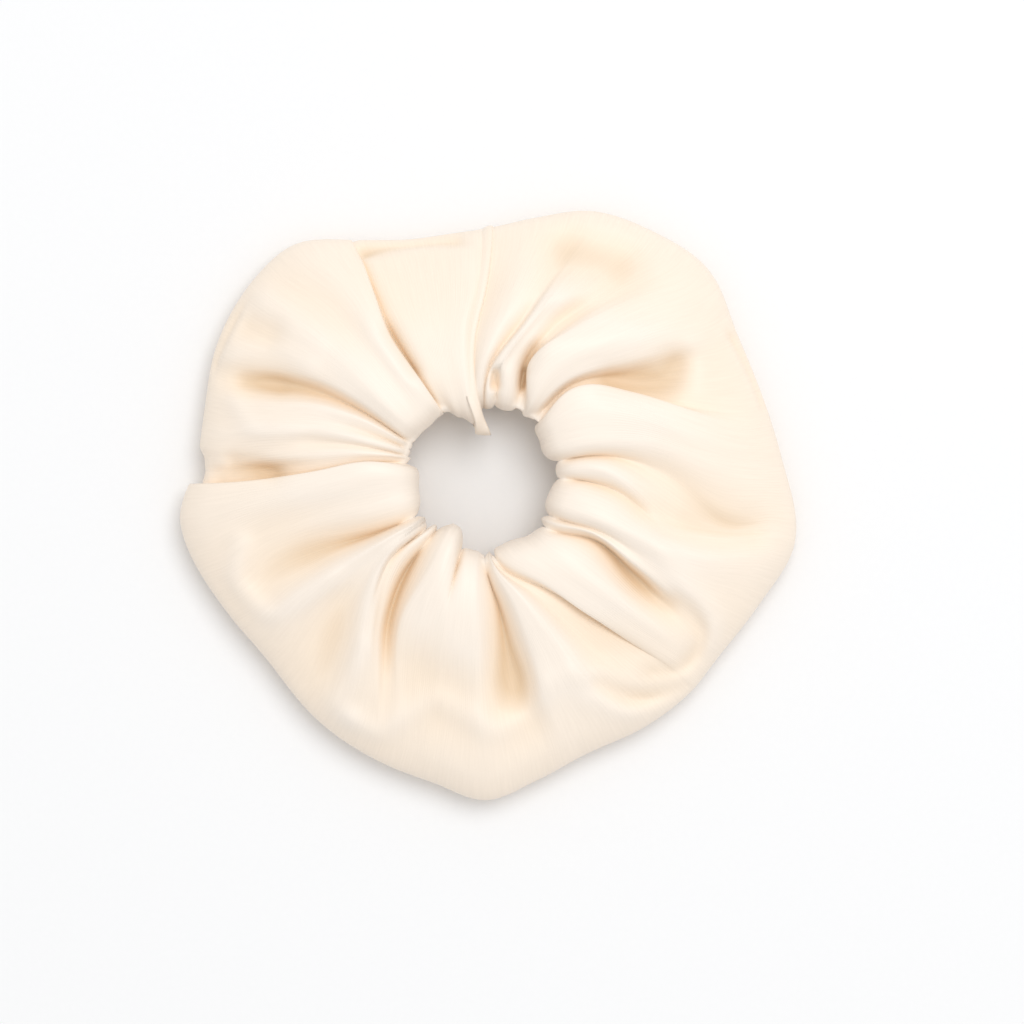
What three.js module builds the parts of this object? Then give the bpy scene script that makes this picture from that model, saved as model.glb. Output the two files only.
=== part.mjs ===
// A gathered satin scrunchie lying flat: a ring-shaped fabric tube closed by one
// cross seam, with a flat elastic loop sewn end over end inside it.
// Millimetres, +Z up, lying on Z = 0, with the origin under the middle of its box.
// The tube is cut in two halves on the plane through the cross seam, so that the
// right half can slide away along +X as the elastic stretches.
import * as THREE from "three";

// ---- driving dimensions -------------------------------------------------------
const HOLE_RADIUS = 12.5;
const RIM_WAVE = 0.5;
const GATHER_COUNT = 16;
const GATHER_DEPTH = 2.2;
const INNER_EDGE_HEIGHT = 10;
const OUTER_EDGE_HEIGHT = 5;
const INNER_CROWN = 10.5;
const OUTER_CROWN = 8;
const SECTION_SQUARENESS = 0.78;
const SPLIT_GAP = 0.3;

// The outer edge as the fabric lies: [angle in degrees, distance from the ring's centre].
const OUTER_EDGE = [
  [4, 55.6], [17, 54.1], [30, 54.4], [43, 57.2], [56, 55.8], [68, 53.8], [78, 49.8], [88, 46.8],
  [98, 46], [108, 46.8], [118, 50.4], [128, 55.8], [138, 56.5], [152, 55.5], [166, 53], [177, 52],
  [185, 56.6], [193, 56.1], [207, 53.4], [220, 52], [236, 54.1], [250, 55.6], [261, 56.9], [270.5, 59.4],
  [280, 56.6], [291, 54.2], [303, 54.7], [314, 55], [324, 54.6], [336, 56.2], [349, 59],
];

// The elastic stands on edge inside the tube, close to the hole.
const ELASTIC_RADIUS = 16;
const ELASTIC_WIDTH = 6;
const ELASTIC_THICK = 1;
const ELASTIC_BOTTOM = 7.4;
const LAP_MIDDLE = 205;
const LAP_HALF = 20;
const LAP_CLEAR = 10;
const TACK_MARGIN = 5;
const TACK_REACH = 1.6;
const TOUCH_GAP = 0.3;

// The channel that the elastic and the seam's raw edges lie in.
const CHANNEL_INNER = 13.6;
const CHANNEL_OUTER = 24.6;
const CHANNEL_BOTTOM = 4.6;
const CHANNEL_TOP = 15.4;
const CHANNEL_SQUARENESS = 0.45;

// The long seam's two raw edges, turned in under the elastic, and its thread.
const ALLOWANCE_INNER = 14.8;
const ALLOWANCE_OUTER = 22.6;
const ALLOWANCE_BOTTOM = 5.7;
const ALLOWANCE_THICK = 0.7;
const THREAD_RADIUS = 0.2;

// The cross seam's raised welt and the thread round it.
const WELT_WIDTH = 2.2;
const WELT_THICK = 0.9;
const SEAM_ANGLE = 90;
const SEAM_LIFT = 2.4;
const SEAM_CALM_FROM = 8;
const SEAM_CALM_TO = 18;

// Mesh steps.
const HALF_STEPS = 40;
const SECTION_STEPS = 18;
const ARC_STEP = 6;
const TACK_TURNS = 3;
const TACK_POINTS = 8;

const rad = THREE.MathUtils.degToRad;
const lerp = THREE.MathUtils.lerp;

// ---- the outer edge and the ring's centre -------------------------------------
const edgeCurve = new THREE.CatmullRomCurve3(
  OUTER_EDGE.map(([angle, reach]) => (
    new THREE.Vector3(reach * Math.cos(rad(angle)), reach * Math.sin(rad(angle)), 0)
  )),
  true,
  "centripetal",
);
const edgePoints = edgeCurve.getPoints(720);
const edgeBox = new THREE.Box3().setFromPoints(edgePoints);
const RING_CENTRE = edgeBox.getCenter(new THREE.Vector3()).negate();

const edgeAngles = edgePoints.map((point) => (Math.atan2(point.y, point.x) + 2 * Math.PI) % (2 * Math.PI));

function outerReach(angle) {
  const wanted = (rad(angle) + 4 * Math.PI) % (2 * Math.PI);
  let nearest = 0;
  edgeAngles.forEach((edgeAngle, i) => {
    if (Math.abs(edgeAngle - wanted) < Math.abs(edgeAngles[nearest] - wanted)) {
      nearest = i;
    }
  });
  return edgePoints[nearest].length();
}

// A point at an angle and a distance from the ring's centre. side is -1 for the left
// half and +1 for the right half, which keeps each half off the split plane.
function ringPoint(side, angle, reach, height) {
  const across = side * Math.max(SPLIT_GAP / 2, side * reach * Math.cos(rad(angle)));
  const along = reach * Math.sin(rad(angle));
  return new THREE.Vector3(RING_CENTRE.x + across, RING_CENTRE.y + along, height);
}

// ---- the gathered tube's cross-section ----------------------------------------
// turn runs once round the section: 0 at the outer edge, 90 on top, 180 at the hole.
// grow moves the point outwards. The gathers die out at the cross seam, which is lifted.
function tubePoint(side, angle, turn, grow = 0) {
  const flat = Math.cos(rad(turn));
  const up = Math.sin(rad(turn));
  const spread = Math.sign(flat) * Math.abs(flat) ** SECTION_SQUARENESS;
  const share = (1 + spread) / 2;
  const nearHole = 1 - share;
  const nearSeam = 1 - THREE.MathUtils.smoothstep(Math.abs(angle - SEAM_ANGLE), SEAM_CALM_FROM, SEAM_CALM_TO);
  const wave = (1 - nearSeam) * Math.cos(rad(GATHER_COUNT * angle));
  const inner = HOLE_RADIUS + RIM_WAVE * wave - grow;
  const reach = lerp(inner, outerReach(angle) + grow, share);
  const edge = lerp(INNER_EDGE_HEIGHT, OUTER_EDGE_HEIGHT, share);
  const crown = lerp(INNER_CROWN, OUTER_CROWN, share) - GATHER_DEPTH * nearHole * (1 + wave) / 2;
  const lift = SEAM_LIFT * nearSeam;
  if (up >= 0) {
    return ringPoint(side, angle, reach, edge + (crown + grow) * up ** 0.8);
  }
  const sag = Math.min(1, 1.3 * Math.abs(up));
  return ringPoint(side, angle, reach, lerp(edge, lift - grow, sag));
}

function channelPoint(side, angle, turn) {
  const middle = (CHANNEL_INNER + CHANNEL_OUTER) / 2;
  const halfReach = (CHANNEL_OUTER - CHANNEL_INNER) / 2;
  const halfHeight = (CHANNEL_TOP - CHANNEL_BOTTOM) / 2;
  const flat = Math.cos(rad(turn));
  const up = Math.sin(rad(turn));
  const reach = middle + halfReach * Math.sign(flat) * Math.abs(flat) ** CHANNEL_SQUARENESS;
  const height = CHANNEL_BOTTOM + halfHeight + halfHeight * Math.sign(up) * Math.abs(up) ** CHANNEL_SQUARENESS;
  return ringPoint(side, angle, reach, height);
}

// ---- closed meshes from rows of points ----------------------------------------
// Each row is a closed loop of points, and the rows follow one another. The last row
// joins the first one, or else both ends are shut with a fan of faces.
function loftGeometry(rows, joinEnds) {
  const size = rows[0].length;
  const positions = rows.flat().flatMap((point) => point.toArray());
  const faces = [];
  const addFace = (a, b, c) => faces.push(a, b, c);
  const bands = joinEnds ? rows.length : rows.length - 1;
  for (let row = 0; row < bands; row += 1) {
    const next = (row + 1) % rows.length;
    for (let i = 0; i < size; i += 1) {
      const j = (i + 1) % size;
      addFace(row * size + i, next * size + i, next * size + j);
      addFace(row * size + i, next * size + j, row * size + j);
    }
  }
  if (!joinEnds) {
    const last = (rows.length - 1) * size;
    for (let i = 1; i < size - 1; i += 1) {
      addFace(0, i, i + 1);
      addFace(last, last + i + 1, last + i);
    }
  }
  const geometry = new THREE.BufferGeometry();
  geometry.setAttribute("position", new THREE.Float32BufferAttribute(positions, 3));
  geometry.setIndex(faces);
  geometry.computeVertexNormals();
  return geometry;
}

const turns = Array.from({ length: SECTION_STEPS }, (_, i) => (360 * i) / SECTION_STEPS);

// Half of the fabric tube, with the channel right through it: the rows run along the
// outside and come back through the channel.
function coverHalf(side, firstAngle) {
  const angles = Array.from({ length: HALF_STEPS + 1 }, (_, i) => firstAngle + (180 * i) / HALF_STEPS);
  const outside = angles.map((angle) => turns.map((turn) => tubePoint(side, angle, turn)));
  const inside = angles.map((angle) => turns.map((turn) => channelPoint(side, angle, turn)));
  return loftGeometry([...outside, ...inside.reverse()], true);
}

// A strip of rectangular section that follows the ring from one angle to another.
// middleAt gives the distance of its middle from the ring's centre at an angle.
function ringStrip(side, firstAngle, lastAngle, middleAt, thick, bottom, top) {
  const steps = Math.ceil((lastAngle - firstAngle) / ARC_STEP);
  const rows = [];
  for (let i = 0; i <= steps; i += 1) {
    const angle = lerp(firstAngle, lastAngle, i / steps);
    const outer = middleAt(angle) + thick / 2;
    const inner = middleAt(angle) - thick / 2;
    rows.push([
      ringPoint(side, angle, outer, bottom),
      ringPoint(side, angle, outer, top),
      ringPoint(side, angle, inner, top),
      ringPoint(side, angle, inner, bottom),
    ]);
  }
  return loftGeometry(rows, false);
}

function elasticStrip(side, firstAngle, lastAngle, middleAt) {
  const top = ELASTIC_BOTTOM + ELASTIC_WIDTH;
  return ringStrip(side, firstAngle, lastAngle, middleAt, ELASTIC_THICK, ELASTIC_BOTTOM, top);
}

function threadAlong(points) {
  const path = new THREE.CatmullRomCurve3(points, false, "centripetal");
  const section = new THREE.Shape().absellipse(0, 0, THREAD_RADIUS, THREAD_RADIUS, 0, 2 * Math.PI);
  return new THREE.ExtrudeGeometry(section, {
    extrudePath: path,
    steps: points.length,
    curveSegments: 3,
    bevelEnabled: false,
  });
}

// ---- the pieces ---------------------------------------------------------------
function longSeamThread(side, firstAngle) {
  const reach = ALLOWANCE_INNER + 2 * THREAD_RADIUS;
  const height = ALLOWANCE_BOTTOM + ALLOWANCE_THICK + TOUCH_GAP + THREAD_RADIUS;
  const points = [];
  for (let angle = firstAngle + 2; angle <= firstAngle + 178; angle += 11) {
    points.push(ringPoint(side, angle, reach, height));
  }
  return threadAlong(points);
}

// A band round the outside of the left half's section. It starts before the split and is
// set off from the fabric by low, measured outwards.
function sectionBand(before, width, low, thick) {
  const corners = [
    [before, low],
    [before + width, low],
    [before + width, low + thick],
    [before, low + thick],
  ];
  const bandPoint = (turn, offset, grow) => {
    const reach = tubePoint(-1, SEAM_ANGLE, turn, grow).y - RING_CENTRE.y;
    const angle = SEAM_ANGLE + THREE.MathUtils.radToDeg(Math.asin(offset / reach));
    return tubePoint(-1, angle, turn, grow);
  };
  const rows = turns.map((turn) => corners.map(([offset, grow]) => bandPoint(turn, offset, grow)));
  return loftGeometry(rows, true);
}

function closingWelt() {
  return sectionBand(SPLIT_GAP / 2, WELT_WIDTH, TOUCH_GAP, WELT_THICK);
}

function closingThread() {
  const before = (SPLIT_GAP + WELT_WIDTH) / 2 - THREAD_RADIUS;
  return sectionBand(before, 2 * THREAD_RADIUS, 2 * TOUCH_GAP + WELT_THICK, 2 * THREAD_RADIUS);
}

// A wave of thread over the outer face of the elastic's overlap.
function lapThread() {
  const reach = ELASTIC_RADIUS + 1.5 * ELASTIC_THICK + 2 * TOUCH_GAP + THREAD_RADIUS;
  const middle = ELASTIC_BOTTOM + ELASTIC_WIDTH / 2;
  const points = [];
  const last = TACK_TURNS * TACK_POINTS;
  for (let i = 0; i <= last; i += 1) {
    const angle = LAP_MIDDLE + (LAP_HALF - TACK_MARGIN) * ((2 * i) / last - 1);
    const wave = Math.sin((2 * Math.PI * i) / TACK_POINTS);
    points.push(ringPoint(-1, angle, reach, middle + TACK_REACH * wave));
  }
  return threadAlong(points);
}

const satin = () => new THREE.MeshStandardMaterial({ color: "#f6e7d4", roughness: 0.45, metalness: 0 });
const elastic = () => new THREE.MeshStandardMaterial({ color: "#f3efe6", roughness: 0.8, metalness: 0 });
const thread = () => new THREE.MeshStandardMaterial({ color: "#efdcc2", roughness: 0.6, metalness: 0 });

const scrunchie = new THREE.Group();

function addPiece(name, geometry, material) {
  const piece = new THREE.Mesh(geometry, material);
  piece.name = name;
  scrunchie.add(piece);
}

const allowanceTop = ALLOWANCE_BOTTOM + ALLOWANCE_THICK;
const allowanceWidth = ALLOWANCE_OUTER - ALLOWANCE_INNER;
const allowanceMiddle = (ALLOWANCE_INNER + ALLOWANCE_OUTER) / 2;
const halves = [
  { word: "left", side: -1, firstAngle: 90 },
  { word: "right", side: 1, firstAngle: -90 },
];

for (const { word, side, firstAngle } of halves) {
  const lastAngle = firstAngle + 180;
  addPiece(`cover_${word}`, coverHalf(side, firstAngle), satin());
  addPiece(
    `long_seam_allowance_${word}`,
    ringStrip(side, firstAngle, lastAngle, () => allowanceMiddle, allowanceWidth, ALLOWANCE_BOTTOM, allowanceTop),
    satin(),
  );
  addPiece(`long_seam_thread_${word}`, longSeamThread(side, firstAngle), thread());
}

addPiece("closing_seam_welt", closingWelt(), satin());
addPiece("closing_seam_thread", closingThread(), thread());

// The lower end lies outside the upper one along the overlap, then runs in to join the loop.
function lowerEndMiddle(angle) {
  const past = (angle - LAP_MIDDLE - LAP_HALF - LAP_CLEAR) / LAP_CLEAR;
  const outward = 1 - THREE.MathUtils.smoothstep(past, 0, 1);
  return ELASTIC_RADIUS + outward * (ELASTIC_THICK + TOUCH_GAP);
}

addPiece("elastic_right", elasticStrip(1, -90, 90, () => ELASTIC_RADIUS), elastic());
addPiece("elastic_upper_end", elasticStrip(-1, 90, LAP_MIDDLE + LAP_HALF, () => ELASTIC_RADIUS), elastic());
addPiece("elastic_lower_end", elasticStrip(-1, LAP_MIDDLE - LAP_HALF, 270, lowerEndMiddle), elastic());
addPiece("elastic_lap_thread", lapThread(), thread());

export default scrunchie;
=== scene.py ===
"""A cream satin scrunchie lying flat: a gathered cloth ring with an elastic loop sewn inside it.

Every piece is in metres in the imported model's frame. The ring's pieces are laid out in
millimetres round the ring's centre, then scaled, so the folds read as a maker would measure them.
Angles round the ring are in degrees, anticlockwise from +X.
"""
import math

import bmesh
import bpy
import numpy as np
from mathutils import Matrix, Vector


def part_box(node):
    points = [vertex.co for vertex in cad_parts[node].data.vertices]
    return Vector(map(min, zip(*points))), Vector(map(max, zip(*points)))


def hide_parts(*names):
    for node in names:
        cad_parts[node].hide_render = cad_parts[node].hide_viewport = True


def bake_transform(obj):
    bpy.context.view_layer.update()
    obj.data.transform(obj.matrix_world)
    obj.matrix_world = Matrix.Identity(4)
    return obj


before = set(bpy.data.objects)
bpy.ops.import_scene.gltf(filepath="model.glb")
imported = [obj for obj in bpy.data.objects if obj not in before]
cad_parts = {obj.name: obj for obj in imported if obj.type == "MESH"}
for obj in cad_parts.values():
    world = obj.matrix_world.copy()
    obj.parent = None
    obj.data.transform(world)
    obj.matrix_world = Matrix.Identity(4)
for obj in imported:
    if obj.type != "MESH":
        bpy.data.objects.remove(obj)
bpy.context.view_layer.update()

# ---- the frame: where the ring is ---------------------------------------------------------
MM = 0.001
SPLIT_HALF_GAP = 0.15 * MM
elastic_low, elastic_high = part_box("elastic_right")
RING_X = elastic_low.x - SPLIT_HALF_GAP
RING_Y = (elastic_low.y + elastic_high.y) / 2
ELASTIC_BOTTOM = elastic_low.z / MM
ELASTIC_TOP = elastic_high.z / MM
ELASTIC_THICK = 1.0
ELASTIC_RADIUS = (elastic_high.x - RING_X) / MM - ELASTIC_THICK / 2

# ---- the cloth tube -----------------------------------------------------------------------
# How finely it is laid out: columns along the ring, rows over its top and under it.
COLUMNS = 400
TOP_ROWS = 78
UNDER_ROWS = 40
# Its section: heights of its two edges, and how far the top crowns above them.
HOLE_EDGE_HEIGHT = 10.2
OUTER_EDGE_HEIGHT = 4.8
HOLE_CROWN = 9.2
OUTER_CROWN = 6.6
CROWN_FULLNESS = 0.72
SECTION_FULLNESS = 0.8
CLOTH_THICK = 0.35
HOLE_WIDEST = 14.8
SMOOTHED_OFF = 0.45
# The reach that the gathers' stations are measured against: at the hole, and across the band.
USUAL_HOLE = 13.5
USUAL_BAND = 42.5
# A valley is a sharp crease near the hole and a soft hollow farther out.
CREASED_TO = 18
CREASE_FADE = 17
# How the gathers die away at the outer edge and over the hole's rim.
EDGE_FADE = 0.1
EDGE_FADE_CURVE = 0.6
HOLE_FADE = 0.55
# The finer gathers underneath, and the long seam that runs round there.
UNDER_WAVE = 2.6
UNDER_COUNT = 38
LONG_SEAM_ROW = 10
LONG_SEAM_DEPTH = 0.9
# The painted shade and highlight on the cloth: how much height takes a gather's painted shade up to a
# ridge's painted highlight, and over how wide a stretch.
PAINTED_LIGHT_RANGE = 5.5
PAINTED_LIGHT_BLUR = 220

# The outer edge as the cloth lies: angle in degrees and distance from the ring's centre.
OUTER_EDGE = (
    (4, 55.6), (17, 54.1), (30, 54.4), (43, 57.2), (56, 55.8), (68, 53.8), (78, 49.8), (88, 46.8),
    (98, 46.0), (108, 46.8), (118, 50.4), (128, 55.8), (138, 56.5), (152, 55.5), (166, 53.2),
    (176, 53.2), (186, 56.3), (193, 56.1), (207, 53.4), (220, 52.0), (236, 54.1), (250, 55.6),
    (261, 56.9), (270.5, 59.4), (280, 56.6), (291, 54.2), (303, 54.7), (314, 55.0), (324, 54.6),
    (336, 56.2), (349, 59.0),
)

# The gathers, anticlockwise from the cross seam. A valley, crest, sharp ridge or turned edge
# runs outwards from the hole: its angle in degrees and its lift in millimetres are given at
# these distances. A turned edge is the lip or the hidden bend of a fold that laps its neighbour.
STATIONS = (14, 22, 32, 42, 52)
VALLEY, CREST, RIDGE, TURN = "valley", "crest", "ridge", "turn"
# what, angles, lifts, radius at the hole, step of the outer edge
GATHERS = (
    # the cross seam, and the flat panel on its left
    (VALLEY, (94, 95.2, 94, 89.8, 88.5), (-0.8, -1.0, -1.1, -1.1, -0.6), 9.9, 0),
    (CREST, (98.5, 99.5, 98, 93.5, 92), (0.2, 0.1, 0.0, 0.0, 0.0), 10.4, 0),
    (CREST, (110, 109, 106, 104, 103), (0.0, -0.3, -0.4, -0.4, -0.4), 12.3, 0),
    (CREST, (118, 118.3, 117.8, 117.6, 116.8), (-0.6, -0.5, -0.6, -0.8, -0.6), 14.3, 0),
    (TURN, (121.5, 122, 122.2, 120.4, 119.0), (-1.4, -2.5, -2.6, -2.2, -1.5), 14.8, -0.6),
    (TURN, (120.5, 121.8, 122.7, 120.2, 118.6), (-0.2, 0.5, 0.5, 0.1, 0.0), 14.2, 0),
    # the broad left shoulder, the valley under it, and the roll with its small curl
    (CREST, (126, 126.5, 126.5, 125, 127), (1.0, 1.4, 1.2, 0.7, 0.5), 14.2, 0),
    (CREST, (134, 132, 131, 131.5, 135), (1.2, 1.0, 0.6, 0.0, -0.1), 14.0, 0),
    (CREST, (143.5, 142, 139.8, 139.7, 140.6), (1.6, 1.8, 1.5, 0.9, 0.6), 14.3, 0),
    (RIDGE, (150, 147.8, 147.8, 151, 154), (0.8, 0.9, 0.6, 0.0, 0.1), 14.5, 0),
    (VALLEY, (152.5, 150.6, 151.2, 154.5, 158), (-1.1, -2.1, -3.0, -2.6, -0.9), 14.8, 0),
    (RIDGE, (154.5, 153, 155.2, 160, 163), (0.4, 0.5, 0.7, 0.7, 0.3), 14.5, 0),
    (VALLEY, (157.5, 158, 160, 164, 167), (-1.2, -0.7, 0.5, 0.8, 0.3), 14.7, 0),
    (CREST, (160, 161.3, 163.5, 166.5, 170), (0.6, 0.8, 0.8, 1.1, 0.6), 14.4, 0),
    (VALLEY, (162.5, 164.2, 167.2, 170.5, 173), (-0.8, -0.7, -0.7, 0.0, 0.2), 14.6, 0),
    # the wide flap that laps over at the left
    (CREST, (164, 167, 171, 174, 176), (0.2, 0.4, 0.4, 0.1, 0.0), 14.0, -1.6),
    (CREST, (165.5, 169.8, 175, 177, 178.6), (-0.4, -0.4, -0.6, -2.0, -1.4), 14.2, -2.4),
    (TURN, (168, 172.5, 177.8, 181, 182.5), (-1.2, -1.7, -2.0, -2.7, -1.9), 14.6, -3.0),
    (TURN, (169, 170.4, 176.6, 179.6, 180.5), (0.0, 0.9, 0.9, 0.5, 0.4), 12.8, -0.2),
    (CREST, (176, 176.5, 182, 185, 187), (1.0, 1.6, 1.4, 0.8, 0.6), 11.8, 0.2),
    (CREST, (192, 193, 193, 195, 199), (0.8, 0.3, -0.4, -0.6, 0.0), 12.0, 0),
    (VALLEY, (208.5, 206.8, 203.8, 203.5, 206), (-2.2, -4.0, -3.4, -1.8, -0.3), 14.6, 0),
    # the forked ridge, its slit, and the valley beside the knob
    (RIDGE, (212.5, 211.5, 211.5, 212.3, 214), (1.0, 1.6, 1.6, 1.3, 0.5), 12.8, 0),
    (CREST, (215, 215, 220, 225.5, 230), (0.9, 1.2, 0.2, -0.8, -0.4), 12.9, 0),
    (CREST, (216.5, 217.5, 226, 235.5, 239), (0.7, 1.3, 1.3, 1.1, 0.6), 13.2, 0),
    (VALLEY, (221, 220.2, 229.5, 239, 243), (-2.4, -1.6, 0.5, 0.5, 0.4), 14.2, 0),
    (CREST, (223.3, 222.6, 231.5, 241, 246), (0.4, -0.8, -1.0, 0.0, 0.2), 12.0, 0),
    (VALLEY, (227.5, 229.5, 235.8, 244, 249), (-2.0, -5.0, -4.2, -1.3, 0.0), 13.0, 0),
    (RIDGE, (235.5, 239.2, 239.6, 247, 252), (0.6, 0.8, 0.0, -0.6, 0.1), 9.7, 0),
    (CREST, (243, 245, 247, 251, 255), (1.2, 1.3, 0.5, -0.9, 0.2), 9.7, 0),
    (VALLEY, (253, 254, 256, 258, 259), (-2.6, 0.5, 0.4, -1.1, 0.3), 13.6, 0),
    (CREST, (258, 260, 261, 263, 263), (0.7, 1.0, 0.6, -1.0, 0.5), 13.0, 0),
    (RIDGE, (266, 267.2, 268.5, 269.5, 271), (0.6, 0.8, 0.5, -0.3, 0.5), 13.2, 0),
    (VALLEY, (271.5, 277, 278.5, 280.5, 282), (-2.0, -4.2, -4.4, -2.4, 0.3), 14.6, 0),
    # the sharp lower ridge, and the roll that laps it at the lower right
    (RIDGE, (274.6, 282.8, 286.2, 286.3, 287), (0.2, 0.8, 1.0, 0.8, 0.7), 13.4, 0),
    (RIDGE, (275.5, 287.5, 294, 296.3, 299), (0.3, 1.3, 1.5, 1.4, 0.5), 13.4, 0),
    (CREST, (276.8, 293.5, 302, 305.5, 308), (-0.6, -1.2, -1.9, -1.2, -0.2), 14.0, 0),
    (TURN, (279.5, 299, 309, 313, 315), (-1.2, -2.2, -2.9, -1.7, -0.4), 14.8, 0),
    (TURN, (279, 298.3, 307.6, 312.4, 315.5), (-0.4, 0.3, 0.0, -1.2, -0.2), 13.0, 0),
    (CREST, (295, 305, 312, 315.5, 318), (0.8, 0.9, 0.6, 0.1, -0.1), 12.3, 0),
    (CREST, (312, 315, 318, 319, 320), (1.0, 1.2, 1.0, 0.5, -0.1), 13.4, 0),
    (VALLEY, (323, 331.5, 328.4, 325.4, 324), (-1.4, -3.4, -4.4, -1.6, 0.2), 14.6, 0),
    (RIDGE, (327, 333.8, 331, 328.8, 328), (0.4, 0.4, 0.7, 0.8, 0.4), 12.9, 0),
    (VALLEY, (332, 336, 334, 332, 331), (-1.6, -0.8, 0.3, 0.8, 0.4), 14.2, 0),
    # the right-hand ridge, and the narrow roll that hooks round above it
    (CREST, (342, 341.5, 340, 340, 344), (1.2, 1.7, 1.7, 1.6, 0.9), 12.3, 0),
    (VALLEY, (361, 357, 346, 346, 349), (-1.8, -2.4, -0.2, 0.3, 0.3), 14.4, 0),
    (CREST, (366.5, 365.5, 349.5, 348, 350), (0.6, 0.8, -0.6, -0.7, 0.0), 13.6, 0),
    (VALLEY, (374, 371.5, 363, 350.5, 352), (-1.4, -2.4, -1.9, -1.7, -0.3), 14.6, 0),
    (CREST, (385, 380, 374, 366, 363), (1.2, 1.4, 1.0, 0.6, 0.4), 12.2, 0),
    (CREST, (400, 396, 383, 371, 366.5), (1.4, 1.8, 1.6, 1.0, 0.4), 13.0, 0),
    (TURN, (406, 406.4, 391, 378, 371.5), (0.0, 0.9, 0.9, 0.6, 0.3), 14.2, 0),
    (TURN, (404, 403.5, 388.5, 378.4, 374), (-1.4, -2.1, -1.7, -0.9, 0.0), 14.8, 0),
    # the upper right lobe and the curls beside the seam
    (VALLEY, (409.5, 407.6, 396.5, 391.5, 388), (-1.8, -2.6, -2.6, -1.4, -0.3), 14.8, 0),
    (RIDGE, (413, 410.5, 400.5, 395, 392), (0.3, 0.6, 0.3, 0.0, 0.0), 14.4, 0),
    (CREST, (417, 419, 410, 403, 399), (1.2, 1.8, 1.6, 0.7, 0.3), 14.1, 0),
    (TURN, (419.5, 428.6, 419.5, 411, 405), (-0.2, 1.1, 1.2, 0.4, 0.2), 14.5, 0),
    (TURN, (422.5, 427.4, 421, 413, 408), (-1.5, -2.0, -0.4, -0.2, 0.0), 14.8, 0),
    (VALLEY, (425.5, 430.3, 424, 416, 411), (-2.2, -2.4, -1.2, -0.3, 0.0), 14.6, 0),
    (CREST, (434, 436.5, 430, 423, 419), (0.5, 0.8, 0.9, 0.3, 0.1), 13.5, 0),
    (VALLEY, (441, 440.5, 432.5, 427, 422), (-1.4, 1.2, 1.3, 0.2, 0.0), 14.2, 0),
    (CREST, (446, 444.2, 434.4, 429, 425), (0.4, 1.0, 1.2, 0.1, 0.0), 13.2, 0),
    (VALLEY, (449.4, 447.2, 436.4, 431, 428), (-0.8, -1.3, -1.6, -0.6, 0.0), 13.4, 0),
    (CREST, (451, 450.2, 444, 439.5, 437), (-0.3, 0.2, 0.3, 0.1, 0.0), 13.2, 0),
)

# Where a lower layer of cloth shows past the upper one: from angle, to angle, distance at each.
LEDGES = ((95, 118.5, 43.2, 46.4), (144, 157.5, 54.4, 53.4), (14, 31, 53.0, 52.4))
LEDGE_DROP = 2.2
LEDGE_STEP = 0.7
LEDGE_END = 2.5
LEDGE_LEAST = 0.6

# Soft ridges and hollows that cross the gathers: width, lift, and the points they run through.
STROKES = (
    # the lower left
    (2.2, 1.0, ((-45, -12), (-46, -18), (-43.5, -22), (-39, -25), (-34, -22.5), (-28, -18.3))),
    (2.6, 0.8, ((-22, -31), (-25, -36), (-27, -41), (-25.5, -44))),
    (3.5, -0.6, ((-26, -23), (-26, -29), (-27, -36))),
    # the bottom
    (2.4, 0.9, ((-24, -45), (-19.4, -46.8), (-14, -43.5), (-8.7, -41), (-3, -43.8), (2.5, -46.3),
                (8, -43.5), (11.8, -38))),
    (4.0, -0.6, ((-12, -34), (-4, -37), (2, -38))),
    # the lower right
    (2.0, 0.9, ((17, -36), (21, -40), (27, -43.3), (32, -43.8), (36.5, -41.3))),
    (1.6, -1.4, ((21, -38), (26, -40.3), (31, -40.3), (37.5, -39.3))),
    (2.0, 0.5, ((22, -35.5), (29, -37.3), (36, -36.5))),
    (1.6, -1.3, ((35.5, -22), (38.5, -24), (40.5, -27.5), (40, -31.5), (36.5, -35.3), (31, -36))),
    (2.6, 1.0, ((32.8, -13.8), (37, -19.5), (42, -25.5), (43, -31))),
    # the right and the upper right
    (3.6, -1.3, ((30, -5), (36, -7.5), (44, -10), (50, -10))),
    (2.8, -1.5, ((24, 18.5), (29, 18), (34, 18.5), (36, 22))),
    (3.0, 0.6, ((39, 25), (39.5, 17))),
    (3.0, 0.6, ((11, 24.5), (17, 25.5), (26, 26), (34, 26))),
    (2.2, -0.9, ((6.5, 23), (9, 27), (12.5, 29.5), (17, 31))),
    (1.8, 0.7, ((6.5, 30), (9.5, 33.5), (14, 33.5))),
    (5.5, -2.3, ((16, 43), (25, 40.5))),
    (0.8, -3.6, ((2.2, 17.6), (2.3, 19.8))),
    (0.65, -2.2, ((7.3, 17.4), (7.6, 19.8))),
    (1.1, -1.2, ((8.2, 20.5), (9.6, 24.5))),
    (1.4, -1.3, ((-17.4, 27.3), (-15.4, 24.2), (-12.8, 20.2))),
    # the left
    (2.6, -1.7, ((-43.5, 28.3), (-39.8, 27))),
    (1.8, 0.9, ((-48.5, 23), (-44, 24.4), (-38, 24), (-32, 21))),
    (2.4, 0.6, ((-41, 33), (-37, 30), (-31, 25.5))),
    (2.4, -1.0, ((-44, 18.3), (-38, 17.3))),
    (2.0, 0.6, ((-46, 15), (-44.5, 11.5), (-41, 8.8), (-35, 8))),
    (1.8, -1.4, ((-46, 3.2), (-42, 2.6), (-39, 1.4))),
)
STROKE_STEPS = 14


def in_steps(t):
    """A smooth step from 0 to 1 over t from 0 to 1, level at both ends."""
    return 3 * t**2 - 2 * t**3


def out_of_start(t):
    """What a slope of 1 at the start adds to a smooth step."""
    return t**3 - 2 * t**2 + t


def into_end(t):
    """What a slope of 1 at the end adds to a smooth step."""
    return t**3 - t**2


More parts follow.
